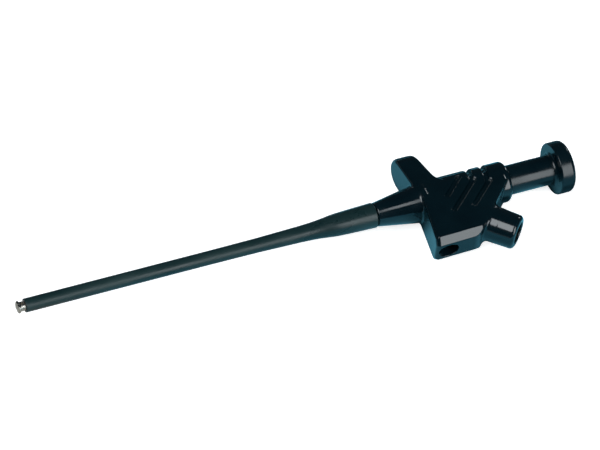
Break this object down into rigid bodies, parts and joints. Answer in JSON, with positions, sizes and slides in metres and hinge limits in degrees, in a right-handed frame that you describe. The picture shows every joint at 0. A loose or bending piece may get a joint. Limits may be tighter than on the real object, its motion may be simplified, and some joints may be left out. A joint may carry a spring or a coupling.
{
  "type": "clamp-type test probe",
  "caption": "Slim spring-claw test probe: flexible shaft, finger-wing grip, sprung push button and an angled 4 mm socket.",
  "frame": {"origin": "front face of the closed claw, on the shaft's axis", "axes": "+X along the shaft from the claw to the push button, -Y towards the lower wing and the socket, +Z out of the grip's broad face"},
  "size_m": [0.158, 0.0366, 0.0142],
  "materials": {
    "grip_plastic": "polished black moulding",
    "sleeve_plastic": "satin dark grey, flexible",
    "plunger_plastic": "polished black moulding",
    "contact_brass": "turned",
    "claw_steel": "bright",
    "plain_steel": "drawn"
  },
  "bodies": {
    "handle": {"grip_body": "grip_plastic", "shaft_sleeve": "sleeve_plastic", "shaft_liner": "plain_steel", "root_ferrule": "plain_steel", "liner_end_ring": "plain_steel", "tip_bush": "plain_steel", "contact_bush": "contact_brass", "wiper_ring": "contact_brass", "link_strip": "contact_brass", "socket_contact": "contact_brass", "contact_screw": "plain_steel", "spring_washer": "plain_steel", "return_spring": "plain_steel"},
    "push_rod": {"plunger": "plunger_plastic", "rod_coupling": "contact_brass", "push_wire": "plain_steel", "claw_ferrule": "claw_steel", "claw_pin": "claw_steel"},
    "upper_jaw": {"jaw_upper": "claw_steel"},
    "lower_jaw": {"jaw_lower": "claw_steel"}
  },
  "joints": [
    {"name": "plunger_press", "type": "slide", "parent": "handle", "child": "push_rod", "axis": [-1, 0, 0], "range_m": [0, 0.009], "stiffness_N_per_m": 650, "springref_m": -0.004, "deforming": ["return_spring"]},
    {"name": "jaw_upper_open", "type": "hinge", "parent": "push_rod", "child": "upper_jaw", "pos_m": [0.008, 0, 0], "axis": [0, 0, -1], "range_deg": [0, 14]},
    {"name": "jaw_lower_open", "type": "hinge", "parent": "push_rod", "child": "lower_jaw", "pos_m": [0.008, 0, 0], "axis": [0, 0, 1], "range_deg": [0, 14]}
  ],
  "couplings": [
    {"joint": "jaw_upper_open", "follows": "plunger_press", "rad_per_m": 27.1},
    {"joint": "jaw_lower_open", "follows": "plunger_press", "rad_per_m": 27.1}
  ]
}
